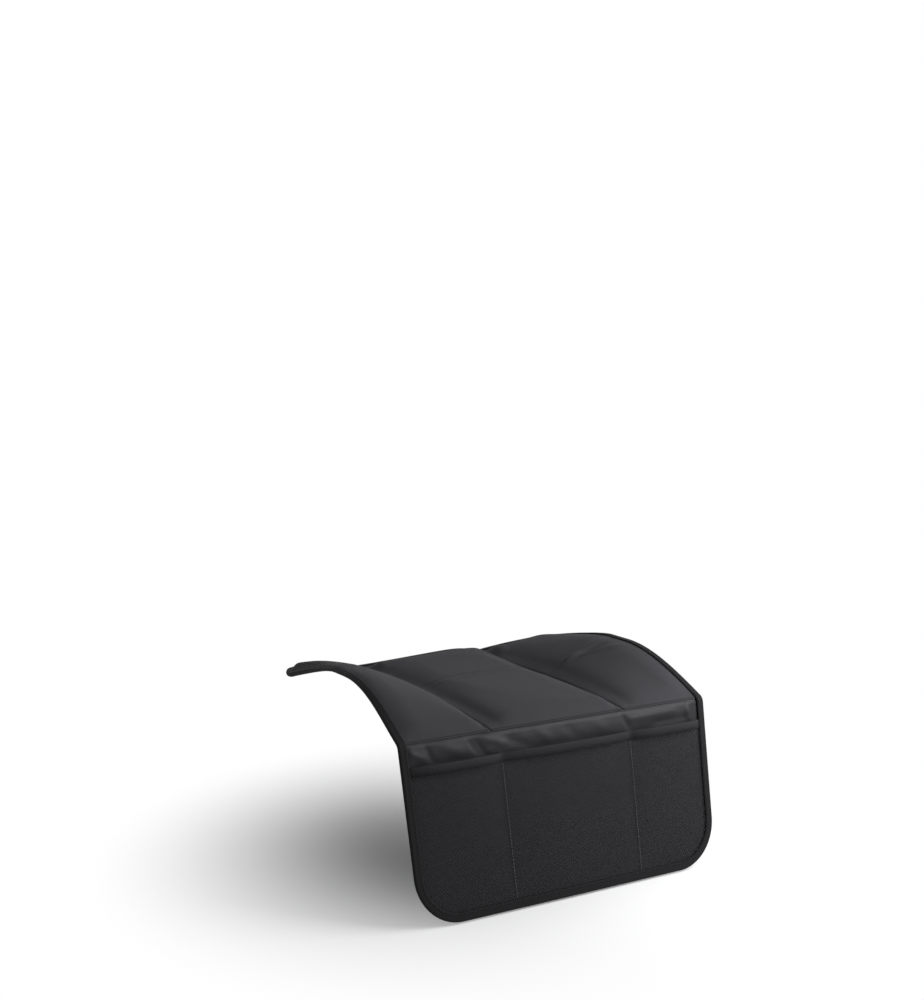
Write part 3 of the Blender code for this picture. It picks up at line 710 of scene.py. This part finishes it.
def cloth_material(name, colour, weave=None, sizes=None, roughness=0.60, sheen=0.0,
                   sheen_roughness=0.4, variation=0.15, yarn=0.25, gloss=0.12):
    """Cloth in soft patches, whose weave of a pitch and a depth shows in bump and yarn colour."""
    material, shader = new_material(name, colour, roughness)
    tree = material.node_tree
    mixed = math_node(tree, "MULTIPLY", add_noise(tree, PATCH_SCALE, PATCH_DETAIL), 1.0 - yarn)
    if weave:
        pitch, depth = sizes
        height = weave(tree, pitch)
        fibres = math_node(tree, "MULTIPLY", height, add_noise(tree, FIBRE_SCALE, FIBRE_DETAIL))
        mixed = math_node(tree, "ADD", mixed, math_node(tree, "MULTIPLY", fibres, 2.0 * yarn))
        bump = tree.nodes.new("ShaderNodeBump")
        bump.inputs["Distance"].default_value = depth
        bump.inputs["Strength"].default_value = BUMP_STRENGTH
        tree.links.new(height, bump.inputs["Height"])
        tree.links.new(bump.outputs[0], shader.inputs["Normal"])
    bright = tree.nodes.new("ShaderNodeMix")
    bright.data_type = "RGBA"
    for socket, share in (("A", 1.0 - variation), ("B", 1.0 + variation)):
        bright.inputs[socket].default_value = (*(share * value for value in colour), 1.0)
    tree.links.new(mixed, bright.inputs["Factor"])
    tree.links.new(bright.outputs["Result"], shader.inputs["Base Color"])
    shader.inputs["Sheen Weight"].default_value = sheen
    shader.inputs["Sheen Roughness"].default_value = sheen_roughness
    shader.inputs["Sheen Tint"].default_value = SHEEN_TINT
    shader.inputs["Specular IOR Level"].default_value = gloss
    return material


def finish_piece(item, material, node=None):
    """Give a piece its material and body and, where it stands for a node, hide that node's solid."""
    item.data.materials.append(material)
    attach(item, "root")
    if node:
        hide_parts(node)


# Padded panels

def swell(item, top, rise):
    """Let the face cloth of a pad swell between its pinned seams, and keep a capped share of it."""
    mesh = item.data
    base = np.zeros(3 * len(mesh.vertices))
    mesh.vertices.foreach_get("co", base)
    base = base.reshape(-1, 3)
    held = item.vertex_groups.new(name="held")
    held.add(list(range(len(base) - len(top))), 1.0, "REPLACE")
    for k, share in zip(top.tolist(), np.clip(1.0 - PIN_FALL * rise, 0.0, 1.0).tolist()):
        if share > 0.0:
            held.add([k], share, "REPLACE")
    cloth = item.modifiers.new("swell", "CLOTH")
    cloth.settings.vertex_group_mass = held.name
    cloth.settings.quality = SWELL_QUALITY
    cloth.settings.use_pressure = True
    cloth.settings.uniform_pressure_force = SWELL_PRESSURE
    cloth.settings.shrink_min = SWELL_STRETCH
    cloth.settings.bending_stiffness = SWELL_BENDING
    cloth.settings.effector_weights.gravity = 0.0
    cloth.point_cache.frame_end = SWELL_FRAMES
    for frame_number in range(1, SWELL_FRAMES + 1):
        bpy.context.scene.frame_set(frame_number)
    evaluated = item.evaluated_get(bpy.context.evaluated_depsgraph_get())
    swollen = np.zeros(3 * len(base))
    evaluated.data.vertices.foreach_get("co", swollen)
    moved = swollen.reshape(-1, 3) - base
    item.modifiers.remove(cloth)
    bpy.context.scene.frame_set(1)
    length = np.linalg.norm(moved, axis=1, keepdims=True)
    moved *= SWELL_CAP / np.maximum(length, SWELL_CAP)
    mesh.vertices.foreach_set("co", (base + moved).ravel())
    mesh.update()


def pad_piece(side, columns_of_row, crown, material):
    """Padded panel; columns_of_row gives a row's points across for the mat's half width there."""
    v = seat_rows(SEAM_GAP / 2, PAD_STEP)
    u = np.array([columns_of_row(half) for half in half_width_at(v, LAYER_INSET)])
    v = np.repeat(v[:, None], u.shape[1], axis=1)
    top = place(u, v, pad_lift(u, v, crown))
    item = closed_sheet(f"seat_panel_{side}_padded", place(u, v, PAD_BASE), top, u, v)
    swell(item, u.size + np.arange(u.size), pad_rise(u, v).ravel())
    smooth = item.modifiers.new("smooth", "SUBSURF")
    smooth.levels = 1
    smooth.render_levels = 1
    finish_piece(item, material, f"seat_panel_{side}")


def make_pads(material):
    inner = SEAM_X - SEAM_GAP / 2
    outer = SEAM_X + SEAM_GAP / 2
    middle = even(-inner, inner, PAD_STEP)
    side_count = round((HALF_WIDTH - outer) / PAD_STEP) + 1

    def right_columns(half):
        return np.linspace(outer, half, side_count)

    pad_piece("left", lambda half: -right_columns(half)[::-1], SIDE_CROWN, material)
    pad_piece("centre", lambda half: middle, CENTRE_CROWN + EXTRA_CROWN, material)
    pad_piece("right", right_columns, SIDE_CROWN, material)


# Backing and flap

def full_width(rows, step):
    """Flat coordinates of a full-width grid with the given rows."""
    half = half_width_at(rows, LAYER_INSET)
    share = even(-1.0, 1.0, step / HALF_WIDTH)
    u = half[:, None] * share[None, :]
    v = np.repeat(rows[:, None], len(share), axis=1)
    return u, v


def make_backing(material):
    u, v = full_width(seat_rows(FOLD_TUCK + SEAM_GAP, BACKING_STEP), BACKING_STEP)
    top = place(u, v, BACKING_THICKNESS)
    item = closed_sheet("non_slip_backing_cloth", place(u, v, 0.0), top, u, v)
    finish_piece(item, material, "non_slip_backing")


def make_flap(material):
    """Lining that tucks in under the fold seam, where it thins to keep clear of the pads."""
    u, v = full_width(flap_rows(-FOLD_TUCK, FINE_STEP), FINE_STEP)
    relief = strip_relief(u, v)
    thickness = FLAP_THICKNESS - CLOTH_GAP * np.clip(v / FOLD_BLEND, 0.0, 1.0)
    top = place(u, v, thickness + relief)
    item = closed_sheet("flap_lining_cloth", place(u, v, relief), top, u, v)
    finish_piece(item, material, "flap_panel")


# Net

def make_net(material):
    """Net of zigzag strands that touch their neighbours in turn."""
    inset = BINDING_WIDTH / 2
    side = HALF_WIDTH - inset
    count = round(2 * side / NET_PITCH_ACROSS)
    columns = np.linspace(-side, side, count + 1)
    swing = columns[1] - columns[0] - NET_STRAND_RADIUS
    radius = FLAP_CORNER_RADIUS - inset
    tubes = []
    flats = []
    for number, column in enumerate(columns):
        turn = -1 if number % 2 else 1
        over = max(0.0, abs(column) - (HALF_WIDTH - FLAP_CORNER_RADIUS))
        reach = FLAP_LENGTH - FLAP_CORNER_RADIUS + np.sqrt(max(radius ** 2 - over ** 2, 0.0))
        v = -np.arange(POCKET_TOP + POCKET_TAPE_WIDTH / 2, reach, NET_PITCH_DOWN)
        u = column + turn * (np.arange(len(v)) // 2 % 2 - 0.5) * swing
        centre = place(u, v, NET_BASE + NET_THICKNESS / 2 + pocket_fullness(u, v))
        normal = normal_at(u, v)
        across = np.cross(line_directions(centre), normal)
        tubes.append(ring_points(centre, normal, across, NET_STRAND_RADIUS, NET_STRAND_SIDES))
        flats.append(np.repeat(np.stack([u, v], axis=-1), NET_STRAND_SIDES, axis=0))
    item = open_tubes("pocket_net_strands", tubes, np.concatenate(flats), NET_STRAND_SIDES)
    finish_piece(item, material, "pocket_net")


# Tapes

def make_pocket_tape(material):
    """Tape folded over the net's top edge, with a rounded fold."""
    side = HALF_WIDTH - NET_FREE_INSET
    across = even(-side, side, FINE_STEP)
    high = NET_THICKNESS + CLOTH_GAP + TAPE_THICKNESS
    low = -CLOTH_GAP - TAPE_THICKNESS
    middle = (high + low) / 2
    half = (high - low) / 2
    top = POCKET_TOP - CLOTH_GAP - TAPE_THICKNESS
    lower = top + POCKET_TAPE_WIDTH
    bend = np.linspace(-np.pi / 2, np.pi / 2, BEND_POINTS)

    def round_fold(radius, turns):
        return [(top + half - radius * np.cos(a), middle + radius * np.sin(a)) for a in turns]

    outline = [(lower, low)] + round_fold(half, bend)
    outline += [(lower, high), (lower, high - TAPE_THICKNESS)]
    outline += round_fold(half - TAPE_THICKNESS, bend[::-1])
    outline += [(lower, low + TAPE_THICKNESS)]
    down, lift = np.array(outline).T[:, None, :]
    u = np.repeat(across[:, None], len(outline), axis=1)
    v = -np.repeat(down, len(across), axis=0)
    sections = place(u, v, NET_BASE + pocket_fullness(u, v) + lift)
    item = swept("pocket_tape_fold", sections, np.stack([v + lift, u], axis=-1), looped=False)
    finish_piece(item, material, "pocket_tape")


def binding_lifts(v):
    """Heights of the binding's upper leaf over the seat part and over the flap."""
    share = np.clip(0.5 - v / FOLD_BLEND, 0.0, 1.0)
    return BINDING_EDGE_LIFT + (BINDING_FLAP_LIFT - BINDING_EDGE_LIFT) * share


def make_binding(material):
    """Tape folded over the mat's whole outer edge, rounded at its outer fold."""
    stations = outline_path(FINE_STEP)
    low = -LEAF_GAP - BINDING_WALL - BINDING_SAG * rear_left_share(stations[:, 0], stations[:, 1])
    high = binding_lifts(stations[:, 1]) + BINDING_WALL
    bend = np.linspace(-np.pi / 2, np.pi / 2, BEND_POINTS)
    leaf = BINDING_WIDTH * np.linspace(1.0, LEAF_END_SHARE, LEAF_POINTS)
    outline = [(inset, 0.0, False) for inset in leaf]
    outline += [(1.0 - np.cos(a), 0.5 + 0.5 * np.sin(a), True) for a in bend]
    outline += [(inset, 1.0, False) for inset in leaf[::-1]]
    inset_rows = []
    lift_rows = []
    for wall, points in ((0.0, outline), (BINDING_WALL, outline[::-1])):
        half = (high - low) / 2 - wall
        for inset, share, is_bend in points:
            inset_rows.append(wall + inset * half if is_bend else np.full(len(stations), inset))
            lift_rows.append(low + wall + 2 * half * share)
    inset = np.stack(inset_rows, axis=1)
    lift = np.stack(lift_rows, axis=1)
    u = stations[:, 0:1] + inset * stations[:, 2:3]
    v = stations[:, 1:2] + inset * stations[:, 3:4]
    along = np.arange(len(stations))[:, None] * FINE_STEP + np.zeros_like(inset)
    flat = np.stack([inset, along], axis=-1)
    item = swept("edge_binding_tape", place(u, v, lift), flat, looped=True)
    finish_piece(item, material, "edge_binding")


# Threads

def thread_row(name, u, v, lift, material):
    """Row of stitches along a flat path, each a short bowed tube that dips in at both ends."""
    length = np.concatenate([[0.0], np.cumsum(np.hypot(np.diff(u), np.diff(v)))])
    tubes = []
    for start in np.arange(STITCH_PITCH / 2, length[-1] - STITCH_LENGTH, STITCH_PITCH):
        at = start + STITCH_LENGTH * STITCH_SHARES
        at_u = np.interp(at, length, u)
        at_v = np.interp(at, length, v)
        at_lift = np.interp(at, length, lift) + STITCH_RISES * THREAD_RADIUS
        centre = place(at_u, at_v, at_lift)
        along = line_directions(centre)
        across = np.cross(along, normal_at(at_u, at_v))
        upward = np.cross(across, along)
        tubes.append(ring_points(centre, upward, across, THREAD_RADIUS, THREAD_SIDES))
    no_weave = np.zeros((sum(map(len, tubes)), 2))
    finish_piece(open_tubes(name, tubes, no_weave, THREAD_SIDES), material)


def make_threads(material, pale):
    """Seams, fold seam, pocket dividers, pocket tape and binding, each with its row of stitches."""
    back = even(SEAM_STITCH_FROM, SEAT_LENGTH - BINDING_WIDTH, PATH_STEP)
    for seam, side in ((-SEAM_X, "left"), (SEAM_X, "right")):
        for offset, letter in ((-SEAM_STITCH_OFFSET, "a"), (SEAM_STITCH_OFFSET, "b")):
            u = np.full(len(back), seam + offset)
            lift = pad_lift(u, back, CENTRE_CROWN + EXTRA_CROWN)
            thread_row(f"seam_thread_{side}_{letter}", u, back, lift, material)
    across = even(BINDING_WIDTH - HALF_WIDTH, HALF_WIDTH - BINDING_WIDTH, PATH_STEP)
    v = np.full(len(across), FOLD_STITCH_BACK)
    thread_row("fold_thread", across, v, pad_lift(across, v, SIDE_CROWN), material)
    down = -even(POCKET_TOP + POCKET_TAPE_WIDTH, FLAP_LENGTH - BINDING_WIDTH, PATH_STEP)
    for divider, side in ((LEFT_DIVIDER_X, "left"), (RIGHT_DIVIDER_X, "right")):
        u = np.full(len(down), divider)
        lift = NET_BASE + NET_THICKNESS + pocket_fullness(u, down)
        # The divider stitches take the paler yarn, a painted highlight for the light they catch
        thread_row(f"divider_thread_{side}", u, down, lift, pale)
    v = np.full(len(across), TAPE_STITCH_UP - POCKET_TOP - POCKET_TAPE_WIDTH)
    tape_top = NET_THICKNESS + CLOTH_GAP + TAPE_THICKNESS
    lift = NET_BASE + pocket_fullness(across, v) + tape_top
    thread_row("pocket_tape_thread", across, v, lift, material)
    stations = outline_path(PATH_STEP)
    u = stations[:, 0] + BINDING_STITCH_INSET * stations[:, 2]
    v = stations[:, 1] + BINDING_STITCH_INSET * stations[:, 3]
    thread_row("binding_thread", u, v, binding_lifts(v) + BINDING_WALL, material)


# Stage, light and camera

def area_light(name, location, size, power):
    """Square light that points at the middle of the mat."""
    light = bpy.data.lights.new(name, "AREA")
    light.energy = power
    light.size = size
    item = bpy.data.objects.new(name, light)
    item.location = location
    item.rotation_euler = (-Vector(location)).to_track_quat("-Z", "Y").to_euler()
    bpy.context.scene.collection.objects.link(item)


def camera_sees(tree):
    """1 for rays that come straight from the camera, or by way of gloss or glass, else 0."""
    path = tree.nodes.new("ShaderNodeLightPath")
    seen = math_node(tree, "MAXIMUM", path.outputs["Is Camera Ray"], path.outputs["Is Glossy Ray"])
    return math_node(tree, "MAXIMUM", seen, path.outputs["Is Transmission Ray"])


def mix_in_white(tree, share, plain_output, white_kind, target):
    """Mix a plain shader with pure white by a share."""
    white = tree.nodes.new(white_kind)
    white.inputs["Color"].default_value = (1.0, 1.0, 1.0, 1.0)
    white.inputs["Strength"].default_value = 1.0
    mix = tree.nodes.new("ShaderNodeMixShader")
    tree.links.new(share, mix.inputs[0])
    tree.links.new(plain_output, mix.inputs[1])
    tree.links.new(white.outputs[0], mix.inputs[2])
    tree.links.new(mix.outputs[0], target)


def make_floor():
    """Pale floor that keeps the soft shadow near the mat and fades to pure white further out."""
    below = CAD_BOX[0].z - FLOOR_DROP
    bpy.ops.mesh.primitive_plane_add(size=FLOOR_SIZE, location=(0.0, 0.0, below))
    floor = bpy.context.object
    floor.name = "floor"
    material, shader = new_material("floor_paper", FLOOR_COLOUR, FLOOR_ROUGHNESS)
    tree = material.node_tree
    spot = tree.nodes.new("ShaderNodeTexCoord")
    distance = tree.nodes.new("ShaderNodeVectorMath")
    distance.operation = "LENGTH"
    tree.links.new(spot.outputs["Object"], distance.inputs[0])
    fade = tree.nodes.new("ShaderNodeMapRange")
    fade.interpolation_type = "SMOOTHSTEP"
    fade.inputs["From Min"].default_value = FLOOR_WHITE_FROM
    fade.inputs["From Max"].default_value = FLOOR_WHITE_TO
    tree.links.new(distance.outputs["Value"], fade.inputs["Value"])
    share = math_node(tree, "MULTIPLY", fade.outputs["Result"], camera_sees(tree))
    mix_in_white(tree, share, shader.outputs[0], "ShaderNodeEmission",
                 tree.nodes["Material Output"].inputs["Surface"])
    floor.data.materials.append(material)


def make_stage():
    """Even pale surroundings that the camera sees as white, the floor and two soft lights."""
    world = bpy.data.worlds.new("studio")
    bpy.context.scene.world = world
    world.use_nodes = True
    tree = world.node_tree
    plain = tree.nodes["Background"]
    plain.inputs["Color"].default_value = WORLD_COLOUR
    plain.inputs["Strength"].default_value = WORLD_STRENGTH
    mix_in_white(tree, camera_sees(tree), plain.outputs[0], "ShaderNodeBackground",
                 tree.nodes["World Output"].inputs[0])
    make_floor()
    area_light("key", KEY_PLACE, KEY_SIZE, KEY_POWER)
    area_light("side", SIDE_PLACE, SIDE_SIZE, SIDE_POWER)


def make_camera():
    """Camera at the photograph's place and angle, sharp all through."""
    data = bpy.data.cameras.new("camera")
    data.lens = CAMERA_LENS
    data.sensor_width = SENSOR
    data.dof.use_dof = False
    item = bpy.data.objects.new("camera", data)
    item.location = CAMERA_PLACE
    item.rotation_euler = (np.pi / 2 - CAMERA_DIP, 0.0, -CAMERA_TURN)
    bpy.context.scene.collection.objects.link(item)
    bpy.context.scene.camera = item


make_camera()
make_stage()

pad_cloth = cloth_material("pad_cloth", PAD_COLOUR, plain_weave, PAD_WEAVE, roughness=0.65,
                           sheen=0.01, sheen_roughness=0.35, variation=0.12, yarn=0.45, gloss=0.03)
lining_cloth = cloth_material("lining_cloth", LINING_COLOUR, plain_weave, LINING_WEAVE, roughness=0.42,
                              sheen=0.01, variation=0.10)
backing_cloth = cloth_material("backing_cloth", BACKING_COLOUR, plain_weave, BACKING_WEAVE,
                               roughness=0.85, variation=0.10)
net_yarn = cloth_material("net_yarn", NET_COLOUR, twill_weave, NET_TWIST, roughness=0.75, variation=0.30)
binding_cloth = cloth_material("binding_cloth", BINDING_COLOUR, tape_weave, TAPE_WEAVE, gloss=0.05)
pocket_tape_cloth = cloth_material("pocket_tape_cloth", POCKET_TAPE_COLOUR, tape_weave, TAPE_WEAVE,
                                   gloss=0.05)
thread_yarn = cloth_material("thread_yarn", THREAD_COLOUR)
# Paler yarn for the divider stitches: a painted highlight, not the thread's own colour
divider_highlight_yarn = cloth_material("divider_highlight_yarn", DIVIDER_HIGHLIGHT_COLOUR)

make_pads(pad_cloth)
make_backing(backing_cloth)
make_flap(lining_cloth)
make_net(net_yarn)
make_pocket_tape(pocket_tape_cloth)
make_binding(binding_cloth)
make_threads(thread_yarn, divider_highlight_yarn)

bpy.context.scene.view_settings.view_transform = "Standard"
